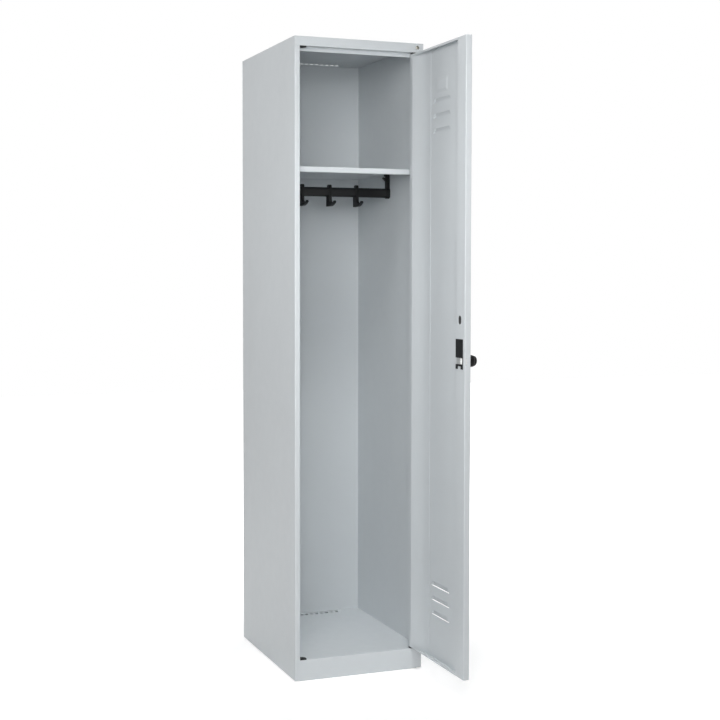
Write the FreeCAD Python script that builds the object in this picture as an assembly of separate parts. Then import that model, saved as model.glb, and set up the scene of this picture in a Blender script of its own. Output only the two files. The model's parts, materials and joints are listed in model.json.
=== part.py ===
import FreeCAD, Part
import math
import os

from FreeCAD import Vector

# Single-compartment garment locker of folded sheet steel, with its door standing open at a right angle.
# All sizes are in millimetres. X runs across the front, Y from front to back, Z up.
# The origin is on the floor, at the middle of the flange under the front plinth.

# Carcass
WIDTH = 400.0
HEIGHT = 1850.0
DEPTH = 500.0
SHEET = 0.8
BEND_RADIUS = 1.6
OVERCUT = 1.6
POST_WIDTH = 16.0
JAMB_DEPTH = 30.0
JAMB_RETURN_GAP = 1.2
REAR_FLANGE = 12.0
SIDE_LIFT = 2.0
FASCIA_HEIGHT = 27.5
PLINTH_HEIGHT = 61.0
BASE_FLANGE = 25.0
BASE_RAIL_TOP = 12.0
BASE_RAIL_FRONT_GAP = 1.0
STOP_SETBACK = 21.0
STOP_DROP = 11.5
STOP_LAP = 8.0
STOP_END_GAP = 0.5

# Air slots at the back of the top panel and of the floor
SLOT_COUNT = 14
SLOT_PITCH = 17.5
SLOT_LENGTH = 15.0
SLOT_WIDTH = 11.0
SLOT_FROM_BACK = 24.0

# Hat shelf
SHELF_HEIGHT = 1485.5
SHELF_SETBACK = 40.0
SHELF_LIP = 16.0
SHELF_HEM = 12.0
SHELF_FLANGE = 14.0

# Coat rail, its end brackets and the sliding hooks
RAIL_DROP = 59.0
RAIL_SETBACK = 247.0
RAIL_TALL = 29.0
RAIL_DEEP = 15.0
RAIL_WALL = 1.5
RAIL_SOCKET = 7.0
RAIL_FIT = 0.15
BRACKET_THICK = 11.5
BRACKET_DEEP = 12.0
BRACKET_COLLAR = 2.2
BRACKET_NOTCH_GAP = 1.0
BRACKET_HEAD_TALL = 6.5
BRACKET_HEAD_REACH = 4.0
BEAK_REACH = 11.0
BEAK_ROOT_DROP = 22.7
BEAK_RISE = 14.0
BEAK_THICK = 9.5
BEAK_TIP = 3.0
BEAK_DEEP = 9.0
HOOK_COUNT = 3
HOOK_PITCH = 89.0
HOOK_WIDE = 8.0
HOOK_PLAY = 0.4
HOOK_WALL = 2.4
HOOK_CAP = 7.5
HOOK_CAP_ROUND = 6.5
HOOK_HEEL_DROP = 29.5
HOOK_HEEL_BACK = 17.0
HOOK_STEM_RISE = 19.0
HOOK_SOLE = 16.0
HOOK_REACH = 48.5
HOOK_TIP_RISE = 11.5
HOOK_TIP_THICK = 4.5
HOOK_THROAT_DEEP = 22.0
HOOK_THROAT_RISE = 9.0
HOOK_SAG = 2.5

# Pivot bearings in the four corners of the opening
BEARING_WIDE = 19.5
BEARING_DEEP = 18.5
BEARING_THICK = 4.0
BEARING_CHAMFER = 6.5
BEARING_EDGE_GAP = 0.5
BEARING_BOSS_RADIUS = 4.2
BEARING_BOSS_LENGTH = 7.0
BOSS_HOLE_PLAY = 0.2
PIN_RADIUS = 3.0
PIN_PLAY = 0.06
PIN_SHORT = 1.0
PIN_COLLAR_RADIUS = 5.0
PIN_COLLAR = 4.0
PIN_SHOULDER_PLAY = 0.15
SCREW_HEAD_RADIUS = 5.5
SCREW_HEAD_RISE = 2.4
SCREW_RADIUS = 2.4
SCREW_LENGTH = 9.0
SCREW_FROM_SIDE = 19.0
SCREW_BELOW_TOP = 13.0

# Door
DOOR_THICK = 18.0
DOOR_SIDE_GAP = 2.5
DOOR_END_GAP = 5.25
PIVOT_INSET = 7.0
LOCK_FACE = 53.0
HINGE_FACE = 19.0
HINGE_SLOPE_RUN = 57.0
HINGE_SLOPE_RADIUS = 180.0
CHANNEL_FOOT = 8.0
FOOT_GAP = 0.15
DOOR_LIP = 6.0
LIP_LOCK_GAP = 0.3
LIP_HINGE_GAP = 6.0

# Louvres and the label seat pressed into the door skin
LOUVRE_COUNT = 3
LOUVRE_PITCH = 42.0
LOUVRE_TOP_DROP = 157.0
LOUVRE_BOTTOM_RISE = 126.0
LOUVRE_SLOT = 120.0
LOUVRE_ROOT = 92.0
LOUVRE_CREST = 104.0
LOUVRE_TALL = 14.0
LOUVRE_OUT = 4.5
LOUVRE_BULGE_OUT = 0.72
LOUVRE_BULGE_UP = 0.62
LABEL_WIDE = 50.0
LABEL_TALL = 23.5
LABEL_DEEP = 1.4
LABEL_SLOPE = 9.0
LABEL_FROM_TOP = 107.0

# Lock
LOCK_HEIGHT = 939.0
LOCK_BACKSET = 31.0
LOCK_SLOT_RISE = 112.0
LOCK_SLOT_TALL = 24.0
LOCK_SLOT_WIDE = 17.0
CASE_WIDE = 42.0
CASE_BELOW = 22.0
CASE_ABOVE = 60.0
CASE_FLANGE = 1.2
CASE_LAP = 1.5
CASE_WALL = 1.8
CASE_FIT = 0.3
CASE_NOTCH_WIDE = 18.0
CASE_NOTCH_TALL = 8.0
CASE_WINDOW = 40.4
BOLT_TALL = 17.0
BOLT_THICK = 3.0
BOLT_DEPTH = 12.0
BOLT_TRAVEL = 14.0
BOLT_PLAY = 0.5
STRIKE_PLAY = 1.0
STRIKE_HEIGHT_PLAY = 2.0
BOLT_TAIL = 51.0
BOLT_BLOCK_START = 27.5
BOLT_BLOCK_RISE = 3.0
BOLT_EAR_WIDE = 12.0
BOLT_EAR_WALL = 2.0
CAM_HUB_RADIUS = 6.5
CAM_ARM_RADIUS = 4.0
CAM_THICK = 3.0
CAM_GAP = 0.5
CAM_PIN_RADIUS = 2.0
CAM_PIN_PLAY = 0.6
SPINDLE_RADIUS = 4.0
SPINDLE_PLAY = 0.06
KNOB_RADIUS = 17.0
KNOB_NECK = 13.0
KNOB_GAP = 0.3
KNOB_SCOOP_RADIUS = 15.0
KNOB_FIN = 8.0
ROSETTE_RADIUS = 19.0
ROSETTE_THICK = 3.0
ROSETTE_ROUND = 1.0

# Planes and places worked out from the sizes above
LEFT = -WIDTH / 2
RIGHT = WIDTH / 2
FRONT = -BASE_FLANGE / 2
BACK = FRONT + DEPTH
HALF_SHEET = SHEET / 2
LAPPED = SHEET + HALF_SHEET
INNER_RADIUS = BEND_RADIUS - HALF_SHEET
OUTER_RADIUS = BEND_RADIUS + HALF_SHEET
OPENING_LEFT = LEFT + POST_WIDTH
OPENING_RIGHT = RIGHT - POST_WIDTH
OPENING_TOP = HEIGHT - FASCIA_HEIGHT
BACK_INNER = BACK - 2 * SHEET
SLOT_Y = BACK - SLOT_FROM_BACK
RAIL_Z = SHELF_HEIGHT - RAIL_DROP
RAIL_Y = FRONT + RAIL_SETBACK
DOOR_WIDE = OPENING_RIGHT - OPENING_LEFT - 2 * DOOR_SIDE_GAP
DOOR_BOTTOM = PLINTH_HEIGHT + DOOR_END_GAP
DOOR_TOP = OPENING_TOP - DOOR_END_GAP
PIVOT_X = OPENING_RIGHT - DOOR_SIDE_GAP - PIVOT_INSET
PIVOT_Y = FRONT + PIVOT_INSET
DOOR_OUTER_X = PIVOT_X + PIVOT_INSET
DOOR_FREE_Y = PIVOT_Y + PIVOT_INSET - DOOR_WIDE
HINGE_FACE_END = DOOR_WIDE - HINGE_FACE
CASE_LEFT = LOCK_FACE - CASE_WIDE
CASE_RIGHT = LOCK_FACE - SHEET - BEND_RADIUS
CAM_OFFSET = BOLT_TRAVEL / 2
CAM_CRANK = CAM_OFFSET * math.sqrt(2)


def save(shape, name):
    """Write one node's solids and say how many there are."""
    shape.exportStep("parts/" + name + ".step")
    print(name, len(shape.Solids), "solid(s)", round(shape.Volume / 1000.0, 2), "cm3", shape.isValid())


def across(x):
    """Place of a side-view outline, drawn in Y and Z, on the plane at x."""
    return lambda y, z: Vector(x, y, z)


def level(z):
    """Place of a plan outline, drawn in X and Y, at height z."""
    return lambda x, y: Vector(x, y, z)


def facing(y):
    """Place of a front-view outline, drawn in X and Z, on the plane at y."""
    return lambda x, z: Vector(x, y, z)


def in_door(u, v, z):
    """Point of the open door: u from its free edge, v in from its outer face, z up."""
    return Vector(DOOR_OUTER_X - v, DOOR_FREE_Y + u, z)


def door_level(z):
    """Place of an outline drawn in the door's own u and v, at height z."""
    return lambda u, v: in_door(u, v, z)


def door_facing(v):
    """Place of an outline drawn in the door's own u and z, at depth v."""
    return lambda u, z: in_door(u, v, z)


def box(corner, opposite):
    """Block between two opposite corners, given in either order."""
    low = [min(a, b) for a, b in zip(corner, opposite)]
    size = [abs(a - b) for a, b in zip(corner, opposite)]
    return Part.makeBox(size[0], size[1], size[2], Vector(*low))


def bent_sheet(points, thickness, radius, place):
    """Face of a bent strip: points are its centre line, and each inner point is a bend.

    A point bends with the common radius, or with its own where it has a third number.
    """
    flat = [Vector(p[0], p[1], 0) for p in points]
    bends = [p[2] if len(p) > 2 else radius for p in points]
    runs = [(q - p).normalize() for p, q in zip(flat, flat[1:])]
    sides = {1: [], -1: []}
    for side, edges in sides.items():
        reach = side * thickness / 2

        def left_of(run, reach=reach):
            return Vector(-run.y, run.x, 0) * reach

        start = flat[0] + left_of(runs[0])
        for corner, come, leave, bend in zip(flat[1:-1], runs, runs[1:], bends[1:]):
            turn = math.copysign(1, come.cross(leave).z)
            half = math.acos(max(-1.0, min(1.0, come.dot(leave)))) / 2
            tangent = bend * math.tan(half)
            centre = corner - come * tangent + Vector(-come.y, come.x, 0) * (bend * turn)
            middle = centre + (corner - centre).normalize() * (bend - turn * reach)
            enter = corner - come * tangent + left_of(come)
            exit_ = corner + leave * tangent + left_of(leave)
            edges += [(start, enter), (enter, middle, exit_)]
            start = exit_
        edges.append((start, flat[-1] + left_of(runs[-1])))
    ring = sides[1] + [(sides[1][-1][-1], sides[-1][-1][-1])]
    ring += [tuple(reversed(piece)) for piece in reversed(sides[-1])]
    ring.append((sides[-1][0][0], sides[1][0][0]))
    shapes = []
    for piece in ring:
        spots = [place(p.x, p.y) for p in piece]
        curve = Part.Arc(*spots) if len(spots) == 3 else Part.LineSegment(*spots)
        shapes.append(curve.toShape())
    return Part.Face(Part.Wire(Part.__sortEdges__(shapes)))


def outline(points, place):
    """Flat face inside a closed outline of straight edges."""
    spots = [place(a, b) for a, b in points]
    return Part.Face(Part.makePolygon(spots + spots[:1]))


def obround(length, width, place):
    """Flat face of a slot with round ends, long along its first direction, about the place's zero."""
    run = (length - width) / 2
    r = width / 2
    shapes = [
        Part.LineSegment(place(-run, -r), place(run, -r)).toShape(),
        Part.Arc(place(run, -r), place(run + r, 0), place(run, r)).toShape(),
        Part.LineSegment(place(run, r), place(-run, r)).toShape(),
        Part.Arc(place(-run, r), place(-run - r, 0), place(-run, -r)).toShape(),
    ]
    return Part.Face(Part.Wire(shapes))


def edges_across(shape):
    """Edges of a block that run across the locker."""
    return [e for e in shape.Edges if e.BoundBox.XLength > e.BoundBox.YLength + e.BoundBox.ZLength]


def mirrored(shape):
    """The same piece on the other side of the locker."""
    return shape.mirror(Vector(0, 0, 0), Vector(1, 0, 0))


def air_slots(z):
    """Row across the back of a level sheet whose top is at z: round-ended slots that run front to back."""
    first = -SLOT_PITCH * (SLOT_COUNT - 1) / 2
    cutters = []
    for i in range(SLOT_COUNT):
        x = first + i * SLOT_PITCH
        place = lambda a, b, x=x: Vector(x + b, SLOT_Y + a, z - OVERCUT)
        face = obround(SLOT_LENGTH, SLOT_WIDTH, place)
        cutters.append(face.extrude(Vector(0, 0, 2 * OVERCUT)))
    return cutters


def boss_hole(x, z):
    """Cutter for the hole that a bearing's boss passes through, in the level sheet next to z."""
    radius = BEARING_BOSS_RADIUS + BOSS_HOLE_PLAY
    return Part.makeCylinder(radius, 2 * OVERCUT, Vector(x, PIVOT_Y, z - OVERCUT))


def rear_reliefs(low, high):
    """Cutters for the two rear corners of a sheet, which clear the rear bends of the sides."""
    cutter = box((LEFT, BACK_INNER - INNER_RADIUS, low), (LEFT + SHEET + INNER_RADIUS, BACK, high))
    return [cutter, mirrored(cutter)]


def side_panel():
    """Left side: rear flange, side, front post, jamb and the jamb's return, folded from one sheet.

    Next to the plinth the post ends flat, without its jamb, and next to the fascia there is no post.
    """
    rear = BACK - LAPPED
    wall = LEFT + HALF_SHEET
    jamb = OPENING_LEFT - HALF_SHEET
    inside = FRONT + JAMB_DEPTH - HALF_SHEET
    folded = [
        (LEFT + REAR_FLANGE, rear),
        (wall, rear),
        (wall, FRONT + HALF_SHEET),
        (jamb, FRONT + HALF_SHEET),
        (jamb, inside),
        (LEFT + SHEET + JAMB_RETURN_GAP, inside),
    ]
    by_plinth = folded[:3] + [(OPENING_LEFT, FRONT + HALF_SHEET)]
    by_fascia = folded[:2] + [(wall, FRONT)]
    stretches = [
        (by_plinth, SIDE_LIFT, PLINTH_HEIGHT),
        (folded, PLINTH_HEIGHT, OPENING_TOP),
        (by_fascia, OPENING_TOP, HEIGHT),
    ]
    lower, *others = [
        bent_sheet(points, SHEET, BEND_RADIUS, level(start)).extrude(Vector(0, 0, end - start))
        for points, start, end in stretches
    ]
    top_seat = box((LEFT + SHEET, FRONT, HEIGHT - SHEET), (0, BACK, HEIGHT))
    return lower.fuse(others).removeSplitter().cut(top_seat)


def strike_slot():
    """Cutter for the slot in the left jamb that takes the bolt of the closed door."""
    near = FRONT + BOLT_DEPTH - STRIKE_PLAY
    far = FRONT + BOLT_DEPTH + BOLT_THICK + STRIKE_PLAY
    half = BOLT_TALL / 2 + STRIKE_HEIGHT_PLAY
    lower = (OPENING_LEFT - OVERCUT, near, LOCK_HEIGHT - half)
    return box(lower, (OPENING_LEFT + OVERCUT, far, LOCK_HEIGHT + half))


def top_panel():
    """Top sheet, folded down into the fascia and back under it, with the air slots and the boss holes."""
    under = OPENING_TOP + HALF_SHEET
    folded = [
        (BACK, HEIGHT - HALF_SHEET),
        (FRONT + HALF_SHEET, HEIGHT - HALF_SHEET),
        (FRONT + HALF_SHEET, under),
        (FRONT + STOP_SETBACK - BEND_RADIUS, under),
    ]
    face = bent_sheet(folded, SHEET, BEND_RADIUS, across(LEFT + SHEET))
    panel = face.extrude(Vector(WIDTH - 2 * SHEET, 0, 0))
    holes = [boss_hole(x, OPENING_TOP) for x in (-PIVOT_X, PIVOT_X)]
    inward = Vector(0, 1, 0)
    shank = Part.makeCylinder(SCREW_RADIUS, 2 * OVERCUT, screw_seat() - inward * OVERCUT, inward)
    return panel.cut(Part.makeCompound(air_slots(HEIGHT) + holes + [shank]))


def stop_strip():
    """Angle on the fascia's return whose leg hangs behind the door's top edge."""
    lap = OPENING_TOP + LAPPED
    leg = FRONT + STOP_SETBACK + HALF_SHEET
    folded = [(leg - STOP_LAP, lap), (leg, lap), (leg, OPENING_TOP - STOP_DROP)]
    face = bent_sheet(folded, SHEET, BEND_RADIUS, across(OPENING_LEFT + STOP_END_GAP))
    return face.extrude(Vector(OPENING_RIGHT - OPENING_LEFT - 2 * STOP_END_GAP, 0, 0))


def floor_panel():
    """Floor sheet, folded down into the front plinth and back along the ground."""
    folded = [
        (BACK_INNER, PLINTH_HEIGHT - HALF_SHEET),
        (FRONT + HALF_SHEET, PLINTH_HEIGHT - HALF_SHEET),
        (FRONT + HALF_SHEET, HALF_SHEET),
        (FRONT + BASE_FLANGE, HALF_SHEET),
    ]
    face = bent_sheet(folded, SHEET, BEND_RADIUS, across(OPENING_LEFT))
    middle = face.extrude(Vector(OPENING_RIGHT - OPENING_LEFT, 0, 0))
    behind_posts = (LEFT + SHEET, FRONT + JAMB_DEPTH, PLINTH_HEIGHT - SHEET)
    whole = middle.fuse(box(behind_posts, (RIGHT - SHEET, BACK_INNER, PLINTH_HEIGHT))).removeSplitter()
    holes = [boss_hole(x, PLINTH_HEIGHT) for x in (-PIVOT_X, PIVOT_X)]
    reliefs = rear_reliefs(PLINTH_HEIGHT - OVERCUT, PLINTH_HEIGHT + OVERCUT)
    return whole.cut(Part.makeCompound(air_slots(PLINTH_HEIGHT) + holes + reliefs))


def base_rail_side():
    """Channel under the floor along the left side, open towards the middle."""
    top = PLINTH_HEIGHT - LAPPED
    wall = LEFT + LAPPED
    folded = [
        (LEFT + SHEET + BASE_RAIL_TOP, top),
        (wall, top),
        (wall, HALF_SHEET),
        (LEFT + SHEET + BASE_FLANGE, HALF_SHEET),
    ]
    start = FRONT + JAMB_DEPTH + BASE_RAIL_FRONT_GAP
    end = BACK_INNER - INNER_RADIUS
    return bent_sheet(folded, SHEET, BEND_RADIUS, facing(start)).extrude(Vector(0, end - start, 0))


def base_rail_rear():
    """Channel under the floor along the back, between the side channels."""
    top = PLINTH_HEIGHT - LAPPED
    wall = BACK - LAPPED
    folded = [
        (BACK - SHEET - BASE_RAIL_TOP, top),
        (wall, top),
        (wall, HALF_SHEET),
        (BACK - SHEET - BASE_FLANGE, HALF_SHEET),
    ]
    start = LEFT + SHEET + BASE_FLANGE + BASE_RAIL_FRONT_GAP
    return bent_sheet(folded, SHEET, BEND_RADIUS, across(start)).extrude(Vector(-2 * start, 0, 0))


def back_panel():
    """Flat sheet lapped on the sides' rear flanges."""
    edge = LEFT + OUTER_RADIUS
    return box((edge, BACK - SHEET, SIDE_LIFT), (-edge, BACK, HEIGHT - SHEET))


def hat_shelf():
    """Shelf with a hemmed front lip and flanges down its sides and back."""
    deck = SHELF_HEIGHT - HALF_SHEET
    lip = FRONT + SHELF_SETBACK + HALF_SHEET
    under = SHELF_HEIGHT - SHELF_LIP + HALF_SHEET
    rear = BACK_INNER - HALF_SHEET
    hang = SHELF_HEIGHT - SHELF_FLANGE
    folded = [(lip + SHELF_HEM, under), (lip, under), (lip, deck), (rear, deck), (rear, hang)]
    face = bent_sheet(folded, SHEET, BEND_RADIUS, across(LEFT + SHEET))
    shelf = face.extrude(Vector(WIDTH - 2 * SHEET, 0, 0))
    near = FRONT + SHELF_SETBACK + SHELF_HEM + BEND_RADIUS
    far = BACK_INNER - SHEET - BEND_RADIUS
    flange = box((LEFT + SHEET, near, hang), (LEFT + 2 * SHEET, far, SHELF_HEIGHT - SHEET))
    reach = BRACKET_DEEP / 2 + BRACKET_NOTCH_GAP
    flange = flange.cut(box((LEFT, RAIL_Y - reach, hang), (0, RAIL_Y + reach, SHELF_HEIGHT - SHEET)))
    reliefs = Part.makeCompound(rear_reliefs(hang - OVERCUT, SHELF_HEIGHT + OVERCUT))
    return shelf.fuse([flange, mirrored(flange)]).cut(reliefs).removeSplitter()


def rail_section(grow, x):
    """Oval of the coat rail, grown all round, on the plane at x."""
    place = lambda a, b: Vector(x, RAIL_Y + b, RAIL_Z + a)
    return obround(RAIL_TALL + 2 * grow, RAIL_DEEP + 2 * grow, place)


def coat_rail():
    """Oval tube that ends inside the sockets of its brackets."""
    start = LEFT + SHEET + BRACKET_THICK - RAIL_SOCKET
    run = Vector(-2 * start, 0, 0)
    return rail_section(0, start).extrude(run).cut(rail_section(-RAIL_WALL, start).extrude(run))


def rail_bracket():
    """Left bracket: oval collar on the rail's end, bar with a head under the shelf, and a beak on the bar."""
    wall = LEFT + SHEET
    face = wall + BRACKET_THICK
    top = SHELF_HEIGHT - SHEET
    run = Vector(BRACKET_THICK, 0, 0)
    near = RAIL_Y - BRACKET_DEEP / 2
    far = RAIL_Y + BRACKET_DEEP / 2
    bar = box((wall, near, RAIL_Z), (face, far, top))
    head = box((wall, near, top - BRACKET_HEAD_TALL), (face + BRACKET_HEAD_REACH, far, top))
    collar = rail_section(RAIL_FIT + BRACKET_COLLAR, wall).extrude(run)
    socket = rail_section(RAIL_FIT, face - RAIL_SOCKET - RAIL_FIT).extrude(run)
    root = top - BEAK_ROOT_DROP
    beak_points = [
        (face - BEAK_TIP, root - BEAK_TIP),
        (face + BEAK_REACH, root + BEAK_RISE - BEAK_TIP),
        (face + BEAK_REACH - BEAK_TIP, root + BEAK_RISE),
        (face, root + BEAK_THICK),
        (face - BEAK_TIP, root + BEAK_THICK),
    ]
    beak = outline(beak_points, facing(RAIL_Y - BEAK_DEEP / 2)).extrude(Vector(0, BEAK_DEEP, 0))
    return collar.fuse([bar, head, beak]).cut(socket).removeSplitter()


def hook_prong(x):
    """Lower part of a hook: block under the rail, flat sole, and a stout prong with a blunt raised tip."""
    sole = RAIL_Z - RAIL_TALL / 2 - HOOK_HEEL_DROP
    side = RAIL_DEEP / 2 + HOOK_PLAY + HOOK_WALL

    def spot(forward, rise):
        return Vector(x, RAIL_Y - forward, sole + rise)

    def halfway(a, b, sag):
        return (a + b) * 0.5 - Vector(0, 0, sag)

    toe = spot(HOOK_SOLE, 0)
    tip = spot(HOOK_REACH, HOOK_TIP_RISE)
    tip_top = spot(HOOK_REACH - HOOK_TIP_THICK, HOOK_TIP_RISE + HOOK_TIP_THICK)
    throat = spot(HOOK_THROAT_DEEP, HOOK_THROAT_RISE)
    stem = spot(side, HOOK_STEM_RISE)
    prong = [
        Part.Arc(toe, halfway(toe, tip, HOOK_SAG), tip),
        Part.LineSegment(tip, tip_top),
        Part.Arc(tip_top, halfway(tip_top, throat, HOOK_SAG), throat),
        Part.Arc(throat, halfway(throat, stem, HOOK_SAG), stem),
    ]
    block = [
        stem,
        spot(side, HOOK_HEEL_DROP + RAIL_TALL / 2),
        spot(-side, HOOK_HEEL_DROP + RAIL_TALL / 2),
        spot(-side, HOOK_HEEL_DROP + HOOK_HEEL_BACK - side),
        spot(-HOOK_HEEL_BACK, HOOK_HEEL_DROP),
        spot(-HOOK_HEEL_BACK, 0),
        toe,
    ]
    edges = [curve.toShape() for curve in prong] + Part.makePolygon(block).Edges
    return Part.Face(Part.Wire(edges)).extrude(Vector(HOOK_WIDE, 0, 0))


def coat_hook(x):
    """Sliding hook, one flat moulding: capped collar round the rail, block below it and the prong."""
    start = x - HOOK_WIDE / 2
    collar = rail_section(HOOK_PLAY + HOOK_WALL, start).extrude(Vector(HOOK_WIDE, 0, 0))
    cap_top = RAIL_Z + RAIL_TALL / 2 + HOOK_PLAY + HOOK_CAP
    shoulder = RAIL_Y - RAIL_DEEP / 2 - HOOK_PLAY - HOOK_WALL
    cap = box((start, shoulder, RAIL_Z), (start + HOOK_WIDE, 2 * RAIL_Y - shoulder, cap_top))
    ridge = [e for e in edges_across(cap) if e.CenterOfMass.z > cap.CenterOfMass.z]
    cap = cap.makeFillet(HOOK_CAP_ROUND, ridge)
    hollow = rail_section(HOOK_PLAY, start - OVERCUT).extrude(Vector(HOOK_WIDE + 2 * OVERCUT, 0, 0))
    return collar.fuse([cap, hook_prong(start)]).cut(hollow).removeSplitter()


def bearing(upper, right):
    """Pivot bearing in a corner of the opening: chamfered plate, boss through the sheet, bore for a pin."""
    edge = OPENING_RIGHT
    inner = edge - BEARING_WIDE
    near = FRONT + BEARING_EDGE_GAP
    far = near + BEARING_DEEP
    seat = OPENING_TOP if upper else PLINTH_HEIGHT
    into = 1 if upper else -1
    plan = [
        (edge, near),
        (edge, far),
        (inner + BEARING_CHAMFER, far),
        (inner, far - BEARING_CHAMFER),
        (inner, near),
    ]
    plate = outline(plan, level(seat)).extrude(Vector(0, 0, -into * BEARING_THICK))
    axis = Vector(0, 0, into)
    boss = Part.makeCylinder(BEARING_BOSS_RADIUS, BEARING_BOSS_LENGTH, Vector(PIVOT_X, PIVOT_Y, seat), axis)
    through = BEARING_THICK + BEARING_BOSS_LENGTH + 2 * OVERCUT
    below = Vector(PIVOT_X, PIVOT_Y, seat) - axis * (BEARING_THICK + OVERCUT)
    bore = Part.makeCylinder(PIN_RADIUS + PIN_PLAY, through, below, axis)
    shape = plate.fuse(boss).cut(bore).removeSplitter()
    return shape if right else mirrored(shape)


def pivot_pin(upper):
    """Pin of the door: collar inside the door, shoulder on the bearing and shank in the bore."""
    seat = OPENING_TOP - BEARING_THICK if upper else PLINTH_HEIGHT + BEARING_THICK
    into = 1 if upper else -1
    cap = DOOR_TOP - SHEET if upper else DOOR_BOTTOM + SHEET
    axis = Vector(0, 0, into)
    shoulder = abs(seat - cap) - PIN_SHOULDER_PLAY
    shank = abs(seat - cap) + BEARING_THICK + BEARING_BOSS_LENGTH - PIN_SHORT
    foot = Vector(PIVOT_X, PIVOT_Y, cap)
    collar = Part.makeCylinder(PIN_COLLAR_RADIUS, PIN_COLLAR, foot - axis * PIN_COLLAR, axis)
    neck = Part.makeCylinder(pin_neck_radius(), shoulder, foot, axis)
    return Part.makeCylinder(PIN_RADIUS, shank, foot, axis).fuse([collar, neck]).removeSplitter()


def pin_neck_radius():
    """Radius of the pin's shoulder, halfway from the shank to the collar."""
    return (PIN_RADIUS + PIN_COLLAR_RADIUS) / 2


def screw_seat():
    """Centre of the hinge screw on the front of the fascia."""
    return Vector(RIGHT - SCREW_FROM_SIDE, FRONT, HEIGHT - SCREW_BELOW_TOP)


def hinge_screw():
    """Domed screw at the hinge end of the fascia."""
    seat = screw_seat()
    ball = (SCREW_HEAD_RADIUS ** 2 + SCREW_HEAD_RISE ** 2) / (2 * SCREW_HEAD_RISE)
    dome = Part.makeSphere(ball, seat + Vector(0, ball - SCREW_HEAD_RISE, 0))
    dome = dome.common(Part.makeCylinder(SCREW_HEAD_RADIUS, SCREW_HEAD_RISE, seat, Vector(0, -1, 0)))
    return dome.fuse(Part.makeCylinder(SCREW_RADIUS, SCREW_LENGTH, seat, Vector(0, 1, 0))).removeSplitter()


def louvre(z, thick):
    """Hood pressed out of the door, open along its lower edge at z and made smaller all round by thick."""
    out = LOUVRE_OUT - thick
    tall = LOUVRE_TALL - thick
    slot = LOUVRE_SLOT / 2 - thick
    crest = LOUVRE_CREST / 2 - thick
    root = LOUVRE_ROOT / 2 - thick
    middle = DOOR_WIDE / 2
    inside = SHEET + OVERCUT
    edge = middle - slot
    lower = in_door(edge, -out, z)
    bulge = in_door(edge, -out * LOUVRE_BULGE_OUT, z + tall * LOUVRE_BULGE_UP)
    upper = in_door(edge, 0, z + tall)
    upper_inside = in_door(edge, inside, z + tall)
    lower_inside = in_door(edge, inside, z)
    wedge = Part.Wire([
        Part.LineSegment(lower_inside, lower).toShape(),
        Part.Arc(lower, bulge, upper).toShape(),
        Part.LineSegment(upper, upper_inside).toShape(),
        Part.LineSegment(upper_inside, lower_inside).toShape(),
    ])
    hood = Part.Face(wedge).extrude(Vector(0, 2 * slot, 0))
    ends = [(middle - slot, z), (middle + slot, z), (middle + root, z + tall), (middle - root, z + tall)]
    hood = hood.common(outline(ends, door_facing(-LOUVRE_OUT)).extrude(Vector(-LOUVRE_OUT - inside, 0, 0)))
    plan = [
        (middle - slot, inside),
        (middle - slot, 0),
        (middle - crest, -out),
        (middle + crest, -out),
        (middle + slot, 0),
        (middle + slot, inside),
    ]
    return hood.common(outline(plan, door_level(z)).extrude(Vector(0, 0, tall)))


def label_seat(thick):
    """Shallow pressed seat for a name card: a low frustum on the door skin, grown by thick on its flat."""
    middle = DOOR_WIDE / 2
    z = DOOR_TOP - LABEL_FROM_TOP
    loops = []
    for v, grow in ((0.0, LABEL_SLOPE), (LABEL_DEEP, 0.0)):
        half = LABEL_WIDE / 2 + grow + thick
        rise = LABEL_TALL / 2 + grow + thick
        spots = [(-half, -rise), (half, -rise), (half, rise), (-half, rise)]
        loops.append(Part.makePolygon([in_door(middle + a, v + thick, z + b) for a, b in spots + spots[:1]]))
    return Part.makeLoft(loops, True, True)


def door_skin():
    """Door sheet rolled into a channel at each upright edge, with its pressings and lock cut-outs.

    The lock channel is a square box. The hinge channel falls away in a long curve to the panel.
    """
    inner = DOOR_THICK - HALF_SHEET
    foot = SHEET + FOOT_GAP + HALF_SHEET
    web = LOCK_FACE - HALF_SHEET
    slope_end = HINGE_FACE_END - HINGE_SLOPE_RUN
    slope = math.atan2(inner - foot, HINGE_SLOPE_RUN)
    slope_foot = slope_end - HINGE_SLOPE_RADIUS * math.tan(slope / 2) - CHANNEL_FOOT
    folded = [
        (LOCK_FACE + CHANNEL_FOOT, foot),
        (web, foot),
        (web, inner),
        (HALF_SHEET, inner),
        (HALF_SHEET, HALF_SHEET),
        (DOOR_WIDE - HALF_SHEET, HALF_SHEET),
        (DOOR_WIDE - HALF_SHEET, inner),
        (HINGE_FACE_END, inner),
        (slope_end, foot, HINGE_SLOPE_RADIUS),
        (slope_foot, foot),
    ]
    bottom = DOOR_BOTTOM + SHEET
    face = bent_sheet(folded, SHEET, BEND_RADIUS, door_level(bottom))
    skin = face.extrude(Vector(0, 0, DOOR_TOP - SHEET - bottom))
    rows = [DOOR_TOP - LOUVRE_TOP_DROP - i * LOUVRE_PITCH for i in range(LOUVRE_COUNT)]
    rows += [DOOR_BOTTOM + LOUVRE_BOTTOM_RISE + i * LOUVRE_PITCH for i in range(LOUVRE_COUNT)]
    guard = box(in_door(0, SHEET, bottom), in_door(DOOR_WIDE, -LOUVRE_OUT, DOOR_TOP))
    hoods = [louvre(z, 0).common(guard) for z in rows]
    hollows = [louvre(z, SHEET) for z in rows]
    skin = skin.fuse(hoods + [label_seat(SHEET)])
    return skin.cut(Part.makeCompound(hollows + [label_seat(0)] + lock_cuts())).removeSplitter()


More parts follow.
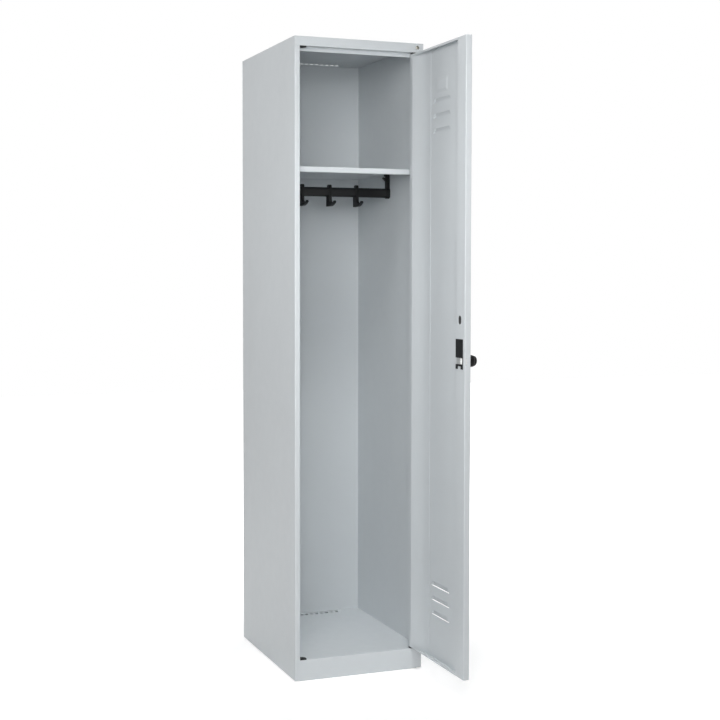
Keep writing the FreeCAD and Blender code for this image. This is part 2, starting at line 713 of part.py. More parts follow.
def lock_cuts():
    """Cutters in the lock channel: case opening, round-ended slot, bolt slot in the edge and spindle hole."""
    deep = DOOR_THICK - OVERCUT
    low = LOCK_HEIGHT - CASE_BELOW + CASE_LAP + CASE_NOTCH_TALL
    high = LOCK_HEIGHT + CASE_ABOVE - CASE_LAP
    case = box(in_door(CASE_LEFT + CASE_LAP, deep, low), in_door(CASE_RIGHT, DOOR_THICK + OVERCUT, high))
    place = lambda a, b: in_door(LOCK_BACKSET + b, deep, LOCK_HEIGHT + LOCK_SLOT_RISE + a)
    slot = obround(LOCK_SLOT_TALL, LOCK_SLOT_WIDE, place).extrude(Vector(-2 * OVERCUT, 0, 0))
    half = BOLT_TALL / 2 + BOLT_PLAY
    near = BOLT_DEPTH - BOLT_PLAY
    far = BOLT_DEPTH + BOLT_THICK + BOLT_PLAY
    bolt = box(in_door(-OVERCUT, near, LOCK_HEIGHT - half), in_door(OVERCUT, far, LOCK_HEIGHT + half))
    radius = SPINDLE_RADIUS + SPINDLE_PLAY
    start = in_door(LOCK_BACKSET, OVERCUT, LOCK_HEIGHT)
    hole = Part.makeCylinder(radius, 2 * OVERCUT, start, Vector(1, 0, 0))
    return [case, slot, bolt, hole]


def door_rail(upper):
    """End cap of the door: plate over the whole section, with a lip between the two channels."""
    start = DOOR_TOP - SHEET if upper else DOOR_BOTTOM
    plan = [
        (OUTER_RADIUS, 0),
        (DOOR_WIDE - OUTER_RADIUS, 0),
        (DOOR_WIDE, OUTER_RADIUS),
        (DOOR_WIDE, DOOR_THICK - OUTER_RADIUS),
        (DOOR_WIDE - OUTER_RADIUS, DOOR_THICK),
        (OUTER_RADIUS, DOOR_THICK),
        (0, DOOR_THICK - OUTER_RADIUS),
        (0, OUTER_RADIUS),
    ]
    plate = outline(plan, door_level(start)).extrude(Vector(0, 0, SHEET))
    end = DOOR_TOP - DOOR_LIP if upper else DOOR_BOTTOM + DOOR_LIP
    near = in_door(LOCK_FACE + LIP_LOCK_GAP, DOOR_THICK - SHEET, start)
    far = in_door(HINGE_FACE_END - LIP_HINGE_GAP, DOOR_THICK, end)
    hole = Part.makeCylinder(pin_neck_radius(), 2 * OVERCUT, Vector(PIVOT_X, PIVOT_Y, start - OVERCUT))
    return plate.fuse(box(near, far)).cut(hole).removeSplitter()


def lock_case():
    """Moulded lock case: flange on the channel, hollow box in its opening, bolt window and forked foot."""
    low = LOCK_HEIGHT - CASE_BELOW
    high = LOCK_HEIGHT + CASE_ABOVE
    body_low = low + CASE_NOTCH_TALL + CASE_LAP + CASE_FIT
    body_high = high - CASE_LAP - CASE_FIT
    body_near = CASE_LEFT + CASE_LAP + CASE_FIT
    body_far = CASE_RIGHT - CASE_FIT
    outside = DOOR_THICK + CASE_FLANGE + OVERCUT
    flange = box(in_door(CASE_LEFT, DOOR_THICK, low), in_door(LOCK_FACE, DOOR_THICK + CASE_FLANGE, high))
    body = box(in_door(body_near, SHEET, body_low), in_door(body_far, DOOR_THICK, body_high))
    hollow = box(
        in_door(body_near + CASE_WALL, SHEET, body_low + CASE_WALL),
        in_door(body_far - CASE_WALL, DOOR_THICK - SHEET, body_high - CASE_WALL),
    )
    half = BOLT_TALL / 2 + BOLT_PLAY
    near = BOLT_DEPTH - BOLT_PLAY
    far = BOLT_DEPTH + BOLT_THICK + BOLT_PLAY
    way = box(in_door(0, near, LOCK_HEIGHT - half), in_door(LOCK_FACE, far, LOCK_HEIGHT + half))
    window = box(
        in_door(LOCK_FACE - CASE_WINDOW, BOLT_DEPTH, LOCK_HEIGHT - half),
        in_door(LOCK_FACE + OVERCUT, outside, LOCK_HEIGHT + half),
    )
    middle = CASE_LEFT + CASE_WIDE / 2
    notch = box(
        in_door(middle - CASE_NOTCH_WIDE / 2, 0, low - OVERCUT),
        in_door(middle + CASE_NOTCH_WIDE / 2, outside, low + CASE_NOTCH_TALL),
    )
    return flange.fuse(body).cut(Part.makeCompound([hollow, way, window, notch])).removeSplitter()


def lock_bolt():
    """Flat bolt, flush with the door's edge: raised block in the case's window, slotted ear for the cam."""
    half = BOLT_TALL / 2
    inner = BOLT_DEPTH + BOLT_THICK
    bar = box(in_door(0, BOLT_DEPTH, LOCK_HEIGHT - half), in_door(BOLT_TAIL, inner, LOCK_HEIGHT + half))
    raised = inner + BOLT_BLOCK_RISE
    block = box(
        in_door(BOLT_BLOCK_START, BOLT_DEPTH, LOCK_HEIGHT - half),
        in_door(CASE_RIGHT - BOLT_PLAY, raised, LOCK_HEIGHT + half),
    )
    reach = CAM_PIN_RADIUS + CAM_PIN_PLAY
    slot_low = LOCK_HEIGHT + CAM_OFFSET - reach
    slot_high = LOCK_HEIGHT + CAM_CRANK + reach
    centre = LOCK_BACKSET + CAM_OFFSET
    ear = box(
        in_door(centre - BOLT_EAR_WIDE / 2, BOLT_DEPTH, LOCK_HEIGHT),
        in_door(centre + BOLT_EAR_WIDE / 2, inner, slot_high + BOLT_EAR_WALL),
    )
    slot = box(
        in_door(centre - reach, BOLT_DEPTH - OVERCUT, slot_low),
        in_door(centre + reach, raised + OVERCUT, slot_high),
    )
    return bar.fuse([block, ear]).cut(slot).removeSplitter()


def lock_cam():
    """Cam lever on the end of the spindle: hub, arm and the pin that drives the bolt."""
    back = BOLT_DEPTH - CAM_GAP
    outward = Vector(1, 0, 0)
    hub = Part.makeCylinder(CAM_HUB_RADIUS, CAM_THICK, in_door(LOCK_BACKSET, back, LOCK_HEIGHT), outward)
    arm_end = in_door(LOCK_BACKSET + CAM_OFFSET, back, LOCK_HEIGHT + CAM_OFFSET)
    tip = Part.makeCylinder(CAM_ARM_RADIUS, CAM_THICK, arm_end, outward)
    half = CAM_ARM_RADIUS / math.sqrt(2)
    arm_points = [
        (LOCK_BACKSET - half, LOCK_HEIGHT + half),
        (LOCK_BACKSET + half, LOCK_HEIGHT - half),
        (LOCK_BACKSET + CAM_OFFSET + half, LOCK_HEIGHT + CAM_OFFSET - half),
        (LOCK_BACKSET + CAM_OFFSET - half, LOCK_HEIGHT + CAM_OFFSET + half),
    ]
    arm = outline(arm_points, door_facing(back)).extrude(outward * CAM_THICK)
    reach = BOLT_THICK + CAM_GAP
    pin = Part.makeCylinder(CAM_PIN_RADIUS, reach, arm_end - outward * reach, outward)
    return hub.fuse([tip, arm, pin]).removeSplitter()


def lock_spindle():
    """Round spindle from the knob, through the door, to the cam."""
    start = in_door(LOCK_BACKSET, BOLT_DEPTH - CAM_GAP - CAM_THICK, LOCK_HEIGHT)
    length = BOLT_DEPTH - CAM_GAP - CAM_THICK + ROSETTE_THICK + KNOB_GAP
    return Part.makeCylinder(SPINDLE_RADIUS, length, start, Vector(1, 0, 0))


def knob_rosette():
    """Round collar on the outside of the door, which the spindle turns in."""
    outward = Vector(1, 0, 0)
    seat = in_door(LOCK_BACKSET, 0, LOCK_HEIGHT)
    disc = Part.makeCylinder(ROSETTE_RADIUS, ROSETTE_THICK, seat, outward)
    rings = [e for e in disc.Edges if e.Curve.TypeId == "Part::GeomCircle"]
    disc = disc.makeFillet(ROSETTE_ROUND, [e for e in rings if e.CenterOfMass.x > disc.CenterOfMass.x])
    return disc.cut(Part.makeCylinder(SPINDLE_RADIUS + SPINDLE_PLAY, ROSETTE_THICK + OVERCUT, seat, outward))


def lock_knob():
    """Ball-nosed knob with a finger scoop on either side of an upright fin."""
    outward = Vector(1, 0, 0)
    foot = in_door(LOCK_BACKSET, -ROSETTE_THICK - KNOB_GAP, LOCK_HEIGHT)
    neck = Part.makeCylinder(KNOB_RADIUS, KNOB_NECK, foot, outward)
    nose = Part.makeSphere(KNOB_RADIUS, foot + outward * KNOB_NECK)
    outside = Part.makeCylinder(2 * KNOB_RADIUS, 3 * KNOB_RADIUS, foot, outward)
    knob = neck.fuse(nose).common(outside)
    deep = KNOB_NECK + KNOB_RADIUS
    scoops = []
    for side in (-1, 1):
        offset = Vector(deep, side * (KNOB_FIN / 2 + KNOB_SCOOP_RADIUS), -2 * KNOB_RADIUS)
        scoops.append(Part.makeCylinder(KNOB_SCOOP_RADIUS, 4 * KNOB_RADIUS, foot + offset))
    return knob.cut(Part.makeCompound(scoops)).removeSplitter()


os.makedirs("parts", exist_ok=True)

left_side = side_panel()
save(left_side.cut(strike_slot()), "left_side_panel")
save(mirrored(left_side), "right_side_panel")
save(top_panel(), "top_panel")
save(stop_strip(), "door_stop_strip")
save(floor_panel(), "floor_panel")
save(back_panel(), "back_panel")
save(base_rail_side(), "base_rail_left")
save(mirrored(base_rail_side()), "base_rail_right")
save(base_rail_rear(), "base_rail_rear")
save(hat_shelf(), "hat_shelf")
save(coat_rail(), "coat_rail")
save(rail_bracket(), "rail_bracket_left")
save(mirrored(rail_bracket()), "rail_bracket_right")
for index, name in enumerate(("left", "centre", "right")):
    save(coat_hook((index - (HOOK_COUNT - 1) / 2) * HOOK_PITCH), "coat_hook_" + name)
for end, upper in (("top", True), ("bottom", False)):
    for side, right in (("left", False), ("right", True)):
        save(bearing(upper, right), "bearing_" + end + "_" + side)
    save(pivot_pin(upper), "pivot_pin_" + end)
    save(door_rail(upper), "door_rail_" + end)
save(hinge_screw(), "hinge_screw")
save(door_skin(), "door_skin")
save(lock_case(), "lock_case")
save(lock_bolt(), "lock_bolt")
save(lock_cam(), "lock_cam")
save(lock_spindle(), "lock_spindle")
save(knob_rosette(), "knob_rosette")
save(lock_knob(), "lock_knob")
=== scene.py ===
# %% [markdown]
# # A steel garment locker with its door open
# The object is a tall narrow cabinet of folded sheet steel, with a hat shelf, a coat rail and a side-hung door.
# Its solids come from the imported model, in metres, with +Z up and the door towards -Y. This lesson dresses them:
# it sets the camera and a plain studio, writes a finish for each material and adds what is too small for the solids.

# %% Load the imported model
import json
import math

import bmesh
import bpy
import numpy as np
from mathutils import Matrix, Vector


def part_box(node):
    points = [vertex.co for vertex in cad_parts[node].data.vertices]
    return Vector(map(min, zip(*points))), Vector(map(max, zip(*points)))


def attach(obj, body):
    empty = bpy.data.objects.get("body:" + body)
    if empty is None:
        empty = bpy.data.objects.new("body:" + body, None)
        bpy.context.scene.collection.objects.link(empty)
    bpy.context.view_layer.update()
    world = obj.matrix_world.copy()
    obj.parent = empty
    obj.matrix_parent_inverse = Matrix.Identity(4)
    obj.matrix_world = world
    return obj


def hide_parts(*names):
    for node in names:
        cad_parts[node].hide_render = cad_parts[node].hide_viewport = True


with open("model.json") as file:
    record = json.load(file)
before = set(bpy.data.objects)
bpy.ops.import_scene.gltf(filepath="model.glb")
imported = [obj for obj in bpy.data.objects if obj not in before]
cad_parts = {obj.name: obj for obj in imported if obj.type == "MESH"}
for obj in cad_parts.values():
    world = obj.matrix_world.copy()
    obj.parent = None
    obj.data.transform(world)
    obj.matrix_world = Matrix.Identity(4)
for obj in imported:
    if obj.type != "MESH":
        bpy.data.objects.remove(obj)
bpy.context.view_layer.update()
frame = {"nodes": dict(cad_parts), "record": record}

# %% [markdown]
# ## The camera
# The locker was pictured from the left front, a little above the middle of its height, with a lens of moderate
# length. A camera that looks dead level and is shifted down would keep every upright exactly upright, but the shift
# would stay when the camera goes round the object. So most of it is traded for a tilt of two and a half degrees,
# which moves no point of the picture by more than three pixels.

# %% Place the camera
CAMERA_PLACE = (-1.45489, -3.55878, 1.18330)
CAMERA_YAW = math.radians(20.372)
CAMERA_TILT = math.radians(2.438)
CAMERA_LENS = 66.007
CAMERA_SHIFT = (0.0622, -0.045)
SENSOR_WIDE = 36.0

scene = bpy.context.scene
camera_data = bpy.data.cameras.new("camera")
camera_data.sensor_width = SENSOR_WIDE
camera_data.lens = CAMERA_LENS
camera_data.shift_x, camera_data.shift_y = CAMERA_SHIFT
camera = bpy.data.objects.new("camera", camera_data)
camera.location = CAMERA_PLACE
camera.rotation_euler = (math.pi / 2 - CAMERA_TILT, 0.0, -CAMERA_YAW)
scene.collection.objects.link(camera)
scene.camera = camera
scene.view_settings.view_transform = "Standard"
print("camera", CAMERA_PLACE, "lens", CAMERA_LENS)

# %% [markdown]
# ## Putting a surface into a mesh
# Every new piece below is a sheet of points that depends on two parameters. A grid of points becomes a grid of
# four-sided faces, and its columns may close on themselves, as round a tube. Working with whole arrays keeps this
# short, and the mesh takes the arrays at once.

# %% Helpers for grids of points
WELD_REACH = 1e-7
SHARP_FROM = math.radians(40.0)


def grid_mesh(name, points, closed=False):
    """Mesh from an array of shape (rows, columns, 3).

    Face (i, j) joins the points (i, j), (i, j + 1), (i + 1, j + 1) and (i + 1, j). Where the grid is closed, the last
    column joins the first.
    """
    rows, columns = points.shape[:2]
    row = np.arange(rows - 1)[:, None] * columns
    column = np.arange(columns if closed else columns - 1)[None, :]
    following = (column + 1) % columns
    corners = [row + column, row + following, row + columns + following, row + columns + column]
    mesh = bpy.data.meshes.new(name)
    mesh.from_pydata(points.reshape(-1, 3).tolist(), [], np.stack(corners, -1).reshape(-1, 4).tolist())
    mesh.update()
    return mesh


def weld(mesh):
    """Close the seams and poles of a mesh, turn its faces outwards and smooth all but its sharp edges."""
    work = bmesh.new()
    work.from_mesh(mesh)
    bmesh.ops.remove_doubles(work, verts=work.verts, dist=WELD_REACH)
    bmesh.ops.recalc_face_normals(work, faces=work.faces)
    work.to_mesh(mesh)
    work.free()
    mesh.shade_smooth()
    mesh.set_sharp_from_angle(angle=SHARP_FROM)
    return mesh


def add_piece(name, mesh):
    """Object at the origin with its place in its mesh."""
    piece = bpy.data.objects.new(name, mesh)
    scene.collection.objects.link(piece)
    return piece


# %% [markdown]
# ## The studio
# The locker stood on nothing visible: the picture has a clean white ground. A wide pale floor is used here, with a
# little light of its own that only the camera and reflections see, so that it comes out white but still keeps the
# soft shadow under the plinth. Further off, its own light rises to full white. The sky does the same: white to the
# camera, a plain grey to everything it lights. Both need a few small node helpers, which the finishes use too.

# %% Helpers for values in nodes


def maths(nodes, links, operation, first, second):
    """Result of one operation on two values, each a number or the output of a node."""
    node = nodes.new("ShaderNodeMath")
    node.operation = operation
    for socket, value in zip(node.inputs, (first, second)):
        if isinstance(value, bpy.types.NodeSocket):
            links.new(value, socket)
        else:
            socket.default_value = value
    return node.outputs[0]


def ranged(nodes, links, value, start, end):
    """Value carried in a straight line from the range start to the range end, and held at its ends."""
    node = nodes.new("ShaderNodeMapRange")
    node.inputs["From Min"].default_value, node.inputs["From Max"].default_value = start
    node.inputs["To Min"].default_value, node.inputs["To Max"].default_value = end
    links.new(value, node.inputs["Value"])
    return node.outputs["Result"]


def seen_directly(nodes, links):
    """1 for rays from the camera, from a gloss or through glass, else 0: the largest of the three flags."""
    path = nodes.new("ShaderNodeLightPath")
    sharp = maths(nodes, links, "MAXIMUM", path.outputs["Is Camera Ray"], path.outputs["Is Glossy Ray"])
    return maths(nodes, links, "MAXIMUM", sharp, path.outputs["Is Transmission Ray"])


# %% Floor
FLOOR_REACH = 9.0
FLOOR_LINES = 9
FLOOR_LEVEL = -0.0004
FLOOR_GREY = (0.8, 0.8, 0.8, 1)
FLOOR_ROUGH = 0.9
FLOOR_GLOW = (0.40, 1.0)
FLOOR_GLOW_FROM = (0.45, 1.5)
WHITE = (1, 1, 1, 1)

lines = np.linspace(-FLOOR_REACH, FLOOR_REACH, FLOOR_LINES)
u, v = np.meshgrid(lines, lines)
floor = add_piece("studio_floor", grid_mesh("studio_floor", np.stack([u, v, np.full_like(u, FLOOR_LEVEL)], -1)))

floor_paint = bpy.data.materials.new("studio_floor_white")
floor_paint.use_nodes = True
nodes, links = floor_paint.node_tree.nodes, floor_paint.node_tree.links
shader = nodes["Principled BSDF"]
shader.inputs["Base Color"].default_value = FLOOR_GREY
shader.inputs["Roughness"].default_value = FLOOR_ROUGH
shader.inputs["Emission Color"].default_value = WHITE
distance = nodes.new("ShaderNodeVectorMath")
distance.operation = "LENGTH"
links.new(nodes.new("ShaderNodeTexCoord").outputs["Object"], distance.inputs[0])
rise = ranged(nodes, links, distance.outputs["Value"], FLOOR_GLOW_FROM, FLOOR_GLOW)
glow = maths(nodes, links, "MULTIPLY", seen_directly(nodes, links), rise)
links.new(glow, shader.inputs["Emission Strength"])
floor.data.materials.append(floor_paint)
print("floor", 2 * FLOOR_REACH, "m wide")

# %% Sky
SKY_LIGHT = 0.17

world = bpy.data.worlds.new("studio_sky")
scene.world = world
world.use_nodes = True
nodes, links = world.node_tree.nodes, world.node_tree.links
sky = nodes["Background"]
sky.inputs["Color"].default_value = WHITE
level = ranged(nodes, links, seen_directly(nodes, links), (0.0, 1.0), (SKY_LIGHT, 1.0))
links.new(level, sky.inputs["Strength"])
print("sky lights the object at", SKY_LIGHT)

# %% [markdown]
# ## The lamps
# The front posts and the edge of the door are the brightest surfaces, the outer side is a little darker, and the
# inside falls off upwards. That is one large soft lamp in front, left of the camera and above it, with a narrow one
# beside the camera that reaches under the shelf. Another narrow one, over the opening, lights the compartment's floor.
# One on the left lights the door's inner face, and one further back, which the door can't see, lights the outer side.
# The last two keep the top, the back and the right side from going dark.

# %% Lamps
OPEN_SPREAD = 180.0
LAMPS = (  # name, place, point that it looks at, side of its square, watts, spread in degrees
    ("key_lamp", (-1.9, -3.4, 2.1), (0.0, 0.0, 1.1), 2.2, 83.0, OPEN_SPREAD),
    ("camera_lamp", (-1.3, -3.7, 1.75), (0.0, 0.0, 1.6), 0.8, 1.4, 40.0),
    ("floor_lamp", (-0.3, -0.9, 2.6), (0.0, 0.12, 0.05), 0.5, 2.1, 50.0),
    ("left_lamp", (-3.6, -0.6, 1.6), (0.0, 0.0, 1.0), 2.2, 14.0, OPEN_SPREAD),
    ("side_lamp", (-2.6, 1.5, 2.1), (-0.2, 0.25, 1.65), 1.0, 1.5, 60.0),
    ("top_lamp", (0.6, 0.5, 3.0), (0.0, 0.24, 1.85), 0.6, 2.8, 90.0),
    ("rear_lamp", (2.9, 2.9, 2.2), (0.0, 0.2, 0.9), 2.2, 90.0, OPEN_SPREAD),
)


def soft_lamp(name, place, target, side, watts, spread):
    """Square lamp that looks from one point at another; a smaller spread keeps its light together."""
    lamp = bpy.data.lights.new(name, "AREA")
    lamp.shape = "SQUARE"
    lamp.size = side
    lamp.energy = watts
    lamp.spread = math.radians(spread)
    holder = bpy.data.objects.new(name, lamp)
    holder.location = place
    aim = holder.location - type(holder.location)(target)
    holder.rotation_euler = aim.to_track_quat("Z", "Y").to_euler()
    scene.collection.objects.link(holder)
    return holder


print("lamps:", [soft_lamp(*row).name for row in LAMPS])

# %% [markdown]
# ## Powder coat
# The sheets are painted with baked powder. From a step away it is one even light grey, but close up it has the fine
# ripple of a coat that melted and set, and its gloss varies a little. The ripple is a bump from small noise, the
# gloss follows a middling noise, and a very broad one bends the sheet by about a millimetre, as thin sheet does.
# Every pattern reads the piece's own coordinates in metres, so it moves with the piece.

# %% Helpers for finishes
NOISE_MIDDLE = (0.3, 0.7)


def new_finish(name):
    """Empty node material: its nodes, links, shader and the piece's own coordinates in metres."""
    finish = bpy.data.materials.new(name)
    finish.use_nodes = True
    nodes, links = finish.node_tree.nodes, finish.node_tree.links
    place = nodes.new("ShaderNodeTexCoord").outputs["Object"]
    return finish, nodes, links, nodes["Principled BSDF"], place


def noise(nodes, links, place, scale, detail=2.0, rough=0.5):
    """Noise between 0 and 1 with about scale bumps per metre."""
    node = nodes.new("ShaderNodeTexNoise")
    node.inputs["Scale"].default_value = scale
    node.inputs["Detail"].default_value = detail
    node.inputs["Roughness"].default_value = rough
    links.new(place, node.inputs["Vector"])
    return node.outputs["Fac"]


def tinted(nodes, links, value, colour, shares):
    """Colour times the first share at the low end of the noise's middle, and times the second at its high end."""
    node = nodes.new("ShaderNodeValToRGB")
    for stop, position, share in zip(node.color_ramp.elements, NOISE_MIDDLE, shares):
        stop.position = position
        stop.color = (*(channel * share for channel in colour), 1)
    links.new(value, node.inputs["Fac"])
    return node.outputs["Color"]


def bumped(nodes, links, height, depth, strength=1.0, under=None):
    """Normal tilted by a height field of that depth in metres, on top of an earlier one."""
    node = nodes.new("ShaderNodeBump")
    node.inputs["Strength"].default_value = strength
    node.inputs["Distance"].default_value = depth
    links.new(height, node.inputs["Height"])
    if under is not None:
        links.new(under, node.inputs["Normal"])
    return node.outputs["Normal"]


# %% Helpers for a finish that changes inside a box
MIX_FIRST, MIX_SECOND, MIX_RESULT = 6, 7, 2  # the colour sockets of a Mix node, which has a set for every type


def within(nodes, links, place, low, high):
    """1 inside an upright box and 0 outside it: the product of four comparisons, of x and y with the box's sides."""
    parts = nodes.new("ShaderNodeSeparateXYZ")
    links.new(place, parts.inputs[0])
    product = 1.0
    for axis in (0, 1):
        for operation, limit in (("GREATER_THAN", low[axis]), ("LESS_THAN", high[axis])):
            test = maths(nodes, links, operation, parts.outputs[axis], limit)
            product = maths(nodes, links, "MULTIPLY", product, test)
    return product


def swapped(nodes, links, tone, colour, mask):
    """The tone where the mask is 0, and the colour where it is 1."""
    node = nodes.new("ShaderNodeMix")
    node.data_type = "RGBA"
    links.new(mask, node.inputs["Factor"])
    links.new(tone, node.inputs[MIX_FIRST])
    node.inputs[MIX_SECOND].default_value = (*colour, 1)
    return node.outputs[MIX_RESULT]


# %% Powder coats
LIGHT_GREY = (0.592, 0.625, 0.645)
RAIL_BLACK = (0.007, 0.0075, 0.008)
# painted shade: the dark grey that stands for the shade inside the door's lock channel
PAINTED_SHADE_GREY = (0.16, 0.163, 0.165)
GREY_GLOSS, BLACK_GLOSS = (0.40, 0.50), (0.30, 0.40)
GREY_SHEEN, BLACK_SHEEN = 0.5, 0.3
TONE_SCALE, TONE_DETAIL, TONE_SHARES = 5.0, 4.0, (0.985, 1.015)
GLOSS_SCALE = 30.0
WAVE_SCALE, WAVE_DETAIL, WAVE_DEEP = 3.2, 0.0, 0.0012
RIPPLE_SCALE, RIPPLE_DEEP, RIPPLE_STRENGTH = 900.0, 0.00003, 0.7


def powder_coat(name, colour, gloss, sheen, shaded_box=None):
    """Painted sheet: broad waves, fine ripple, small changes of gloss and tone, and in the given box a dark grey,
    which is painted shade.
    """
    finish, nodes, links, shader, place = new_finish(name)
    shader.inputs["Specular IOR Level"].default_value = sheen
    tone = tinted(nodes, links, noise(nodes, links, place, TONE_SCALE, TONE_DETAIL), colour, TONE_SHARES)
    # painted shade: inside the box the tone gives way to a dark grey
    if shaded_box is not None:
        tone = swapped(nodes, links, tone, PAINTED_SHADE_GREY, within(nodes, links, place, *shaded_box))
    links.new(tone, shader.inputs["Base Color"])
    dullness = ranged(nodes, links, noise(nodes, links, place, GLOSS_SCALE), NOISE_MIDDLE, gloss)
    links.new(dullness, shader.inputs["Roughness"])
    waves = bumped(nodes, links, noise(nodes, links, place, WAVE_SCALE, WAVE_DETAIL), WAVE_DEEP)
    fine = noise(nodes, links, place, RIPPLE_SCALE)
    links.new(bumped(nodes, links, fine, RIPPLE_DEEP, RIPPLE_STRENGTH, waves), shader.inputs["Normal"])
    return finish


locker_paint = powder_coat("light_grey_powder_coat", LIGHT_GREY, GREY_GLOSS, GREY_SHEEN)
rail_paint = powder_coat("black_powder_coat", RAIL_BLACK, BLACK_GLOSS, BLACK_SHEEN)
print("powder coats:", locker_paint.name, rail_paint.name)

# %% [markdown]
# The inside of the closed lock channel, seen through the slot above the lock, lies in shade, and that shade is painted
# in.
# The door's coat is the same light grey with a mask: in a box in the door's own coordinates, just inside the walls of
# the lock channel, it has a dark grey, which is painted shade.

# %% The door's coat
LOCK_CHANNEL_WIDE = 0.053
DOOR_THICK = 0.018
PAST_BEND = 0.0028
HALF_SHEET = 0.0004

door_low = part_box("door_skin")[0]
channel_low = (door_low[0] + PAST_BEND, door_low[1] + PAST_BEND)
channel_high = (door_low[0] + DOOR_THICK - HALF_SHEET, door_low[1] + LOCK_CHANNEL_WIDE - HALF_SHEET)
# painted shade inside the lock channel, in the box from channel_low to channel_high
door_paint = powder_coat("door_powder_coat", LIGHT_GREY, GREY_GLOSS, GREY_SHEEN, (channel_low, channel_high))
print("channel inside:", [round(v, 4) for v in channel_low + channel_high])

# %% [markdown]
# ## Black mouldings
# The bearings, brackets, hooks and lock case are moulded plastic with a spark-eroded grain: nearly black, and dull,
# with a slight sheen where the light grazes it. The knob comes from a polished mould, so a lamp shows in it.

# %% Moulded plastic
MOULDED_BLACK = (0.007, 0.0075, 0.008)
POLISHED_BLACK = (0.004, 0.0042, 0.0045)
MOULDED_GLOSS, POLISHED_GLOSS = (0.36, 0.50), (0.16, 0.24)
MOULDED_SHEEN, POLISHED_SHEEN = 0.22, 0.15
BLOTCH_SCALE, BLOTCH_DETAIL, BLOTCH_SHARES = 60.0, 3.0, (0.85, 1.2)
GRAIN_SCALE, GRAIN_DETAIL, GRAIN_ROUGH = 1800.0, 3.0, 0.6
GRAIN_DEEP, GRAIN_STRENGTH = 0.00004, 0.6


def moulded(name, colour, gloss, sheen):
    """Grained plastic: fine pits that drive gloss and bump, and broader blotches that drive the tone."""
    finish, nodes, links, shader, place = new_finish(name)
    grain = noise(nodes, links, place, GRAIN_SCALE, GRAIN_DETAIL, GRAIN_ROUGH)
    blotch = noise(nodes, links, place, BLOTCH_SCALE, BLOTCH_DETAIL)
    links.new(tinted(nodes, links, blotch, colour, BLOTCH_SHARES), shader.inputs["Base Color"])
    links.new(ranged(nodes, links, grain, NOISE_MIDDLE, gloss), shader.inputs["Roughness"])
    shader.inputs["Specular IOR Level"].default_value = sheen
    links.new(bumped(nodes, links, grain, GRAIN_DEEP, GRAIN_STRENGTH), shader.inputs["Normal"])
    return finish


black_plastic = moulded("moulded_black_plastic", MOULDED_BLACK, MOULDED_GLOSS, MOULDED_SHEEN)
knob_plastic = moulded("polished_black_plastic", POLISHED_BLACK, POLISHED_GLOSS, POLISHED_SHEEN)
print("plastics:", black_plastic.name, knob_plastic.name)

# %% [markdown]
# ## Bright steel
# The bolt, the pins and the screw are zinc-plated steel. Rolling and plating leave fine lines along the bolt, so the
# noise is stretched: many lines across, few along. The bolt is worn to a satin. The screw's grey is darkened, a
# painted reflection of the dark surroundings that its head would reflect.

# %% Plated steel
PLATED_GREY, PLATED_GLOSS = (0.66, 0.67, 0.68), (0.24, 0.38)
SATIN_GREY, SATIN_GLOSS = (0.68, 0.685, 0.68), (0.40, 0.50)
# painted reflection: the screw's grey is darkened to stand for the dark surroundings its head would reflect
PAINTED_REFLECTION_GREY, DULL_GLOSS = (0.21, 0.205, 0.18), (0.20, 0.30)
LINE_SQUEEZE = (1.0, 0.04, 1.0)
LINE_SCALE, LINE_DETAIL, LINE_SHARES = 2500.0, 3.0, (0.9, 1.06)
LINE_DEEP, LINE_STRENGTH = 0.00001, 0.5


def plated(name, colour, gloss):
    """Zinc-plated steel with fine lines along Y: noise squeezed across the lines drives tone, gloss and bump."""
    finish, nodes, links, shader, place = new_finish(name)
    squeeze = nodes.new("ShaderNodeMapping")
    squeeze.inputs["Scale"].default_value = LINE_SQUEEZE
    links.new(place, squeeze.inputs["Vector"])
    fine_lines = noise(nodes, links, squeeze.outputs["Vector"], LINE_SCALE, LINE_DETAIL)
    shader.inputs["Metallic"].default_value = 1.0
    links.new(tinted(nodes, links, fine_lines, colour, LINE_SHARES), shader.inputs["Base Color"])
    links.new(ranged(nodes, links, fine_lines, NOISE_MIDDLE, gloss), shader.inputs["Roughness"])
    links.new(bumped(nodes, links, fine_lines, LINE_DEEP, LINE_STRENGTH), shader.inputs["Normal"])
    return finish


bright_steel = plated("zinc_plated_steel", PLATED_GREY, PLATED_GLOSS)
satin_steel = plated("satin_zinc_plated_steel", SATIN_GREY, SATIN_GLOSS)
# the screw's finish carries a painted dark reflection in its colour
screw_steel_with_painted_reflection = plated("zinc_plated_steel_painted_dark_reflection", PAINTED_REFLECTION_GREY, DULL_GLOSS)
print("steels:", bright_steel.name, satin_steel.name, screw_steel_with_painted_reflection.name)

# %% [markdown]
# ## A finish for every solid
# The record names a material slot for each node, so the finishes are given out by slot, and three nodes get a variant
# of their own. The solids keep their place and shape.

# %% Dress the solids
SLOT_FINISHES = {
    "locker_paint": locker_paint,
    "black_plastic": black_plastic,
    "bright_steel": bright_steel,
    "rail_black": rail_paint,
}
OWN_FINISHES = {"door_skin": door_paint, "lock_knob": knob_plastic, "lock_bolt": satin_steel}

for part in frame["record"]["subparts"]:
    solid = frame["nodes"][part["node"]]
    solid.data.materials.clear()
    solid.data.materials.append(OWN_FINISHES.get(part["node"], SLOT_FINISHES[part["material_slot"]]))

# %% [markdown]
# ## The hinge screw
# One screw stands in the top rail, over the hinge. Its solid has a plain dome, so the screw is drawn again here with
# a rounded head and a cross recess. The surface is a profile turned round the screw's axis, from the middle of the
# head out to the rim, in to the shank and along it. The cross is pressed into the head.

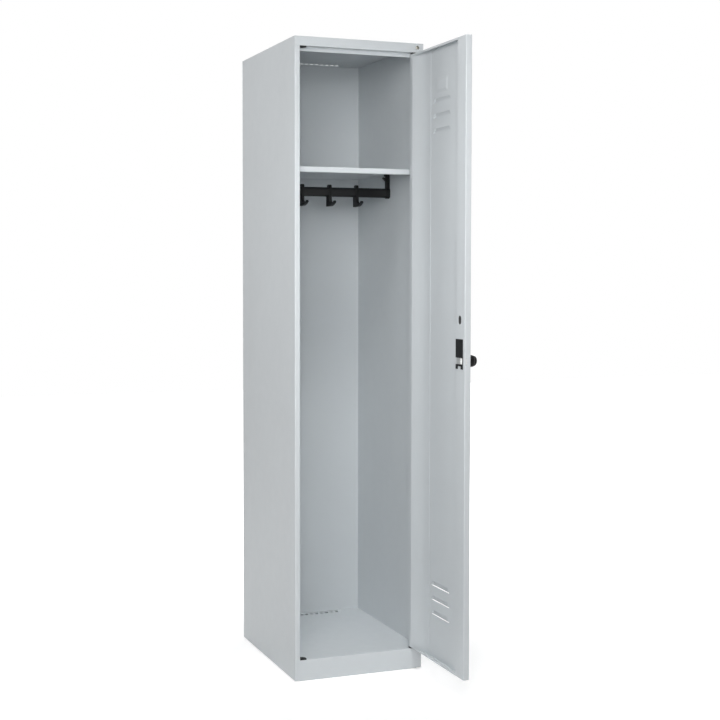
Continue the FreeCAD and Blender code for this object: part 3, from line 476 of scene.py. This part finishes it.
# %% Screw
SCREW_ROWS, SCREW_COLUMNS = 48, 144
SCREW_RISE = 0.0024
SCREW_RIM = 0.0003
SHANK_RADIUS = 0.0024
CROSS_REACH = 0.0030
CROSS_HALF = 0.0007
CROSS_DEEP = 0.0015
CROSS_FADE = 0.6
CROSS_SOFT = 0.0003
CROSS_TURN = math.radians(28.0)


def inside(distance):
    """1 well inside an edge and 0 well outside it, with the cubic 3t^2 - 2t^3 between them."""
    t = np.clip(0.5 - distance / CROSS_SOFT, 0.0, 1.0)
    return t * t * (3.0 - 2.0 * t)


def screw_points(low, high):
    """Points of a screw that fills the box from low to high and whose head looks along -Y.

    The head is the cap of a ball of radius (R^2 + c^2) / 2c, for the head's radius R and the cap's height c. The cross
    is the larger of two crossed bars, each the product of an edge along it and one across it, less deep outwards.
    """
    radius, seat = (high[0] - low[0]) / 2, low[1] + SCREW_RISE
    cap = SCREW_RISE - SCREW_RIM
    ball = (radius**2 + cap**2) / (2.0 * cap)
    along = np.linspace(0.0, radius, SCREW_ROWS)
    dome = SCREW_RISE - ball + np.sqrt(ball**2 - along**2)
    reach = np.concatenate([along, [radius, SHANK_RADIUS, SHANK_RADIUS, 0.0]])[:, None]
    height = np.concatenate([dome, [0.0, 0.0, seat - high[1], seat - high[1]]])[:, None]
    turn = np.linspace(0.0, 2.0 * np.pi, SCREW_COLUMNS, endpoint=False)[None, :]
    a, b = np.abs(reach * np.cos(turn - CROSS_TURN)), np.abs(reach * np.sin(turn - CROSS_TURN))
    bar_a = inside(a - CROSS_REACH) * inside(b - CROSS_HALF)
    bar_b = inside(b - CROSS_REACH) * inside(a - CROSS_HALF)
    on_head = (np.arange(len(reach)) < SCREW_ROWS)[:, None]
    pressed = on_head * CROSS_DEEP * np.maximum(bar_a, bar_b) * (1.0 - CROSS_FADE * reach / CROSS_REACH)
    x = (low[0] + high[0]) / 2 + reach * np.cos(turn)
    z = (low[2] + high[2]) / 2 + reach * np.sin(turn)
    return np.stack([x, seat - height + pressed, z], -1)


screw_mesh = weld(grid_mesh("hinge_screw_head", screw_points(*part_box("hinge_screw")), closed=True))
screw = add_piece("hinge_screw_head", screw_mesh)
# the screw head's darkened grey is a painted reflection
screw.data.materials.append(screw_steel_with_painted_reflection)
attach(screw, "carcass")
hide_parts("hinge_screw")
print("screw:", len(screw.data.polygons), "faces")
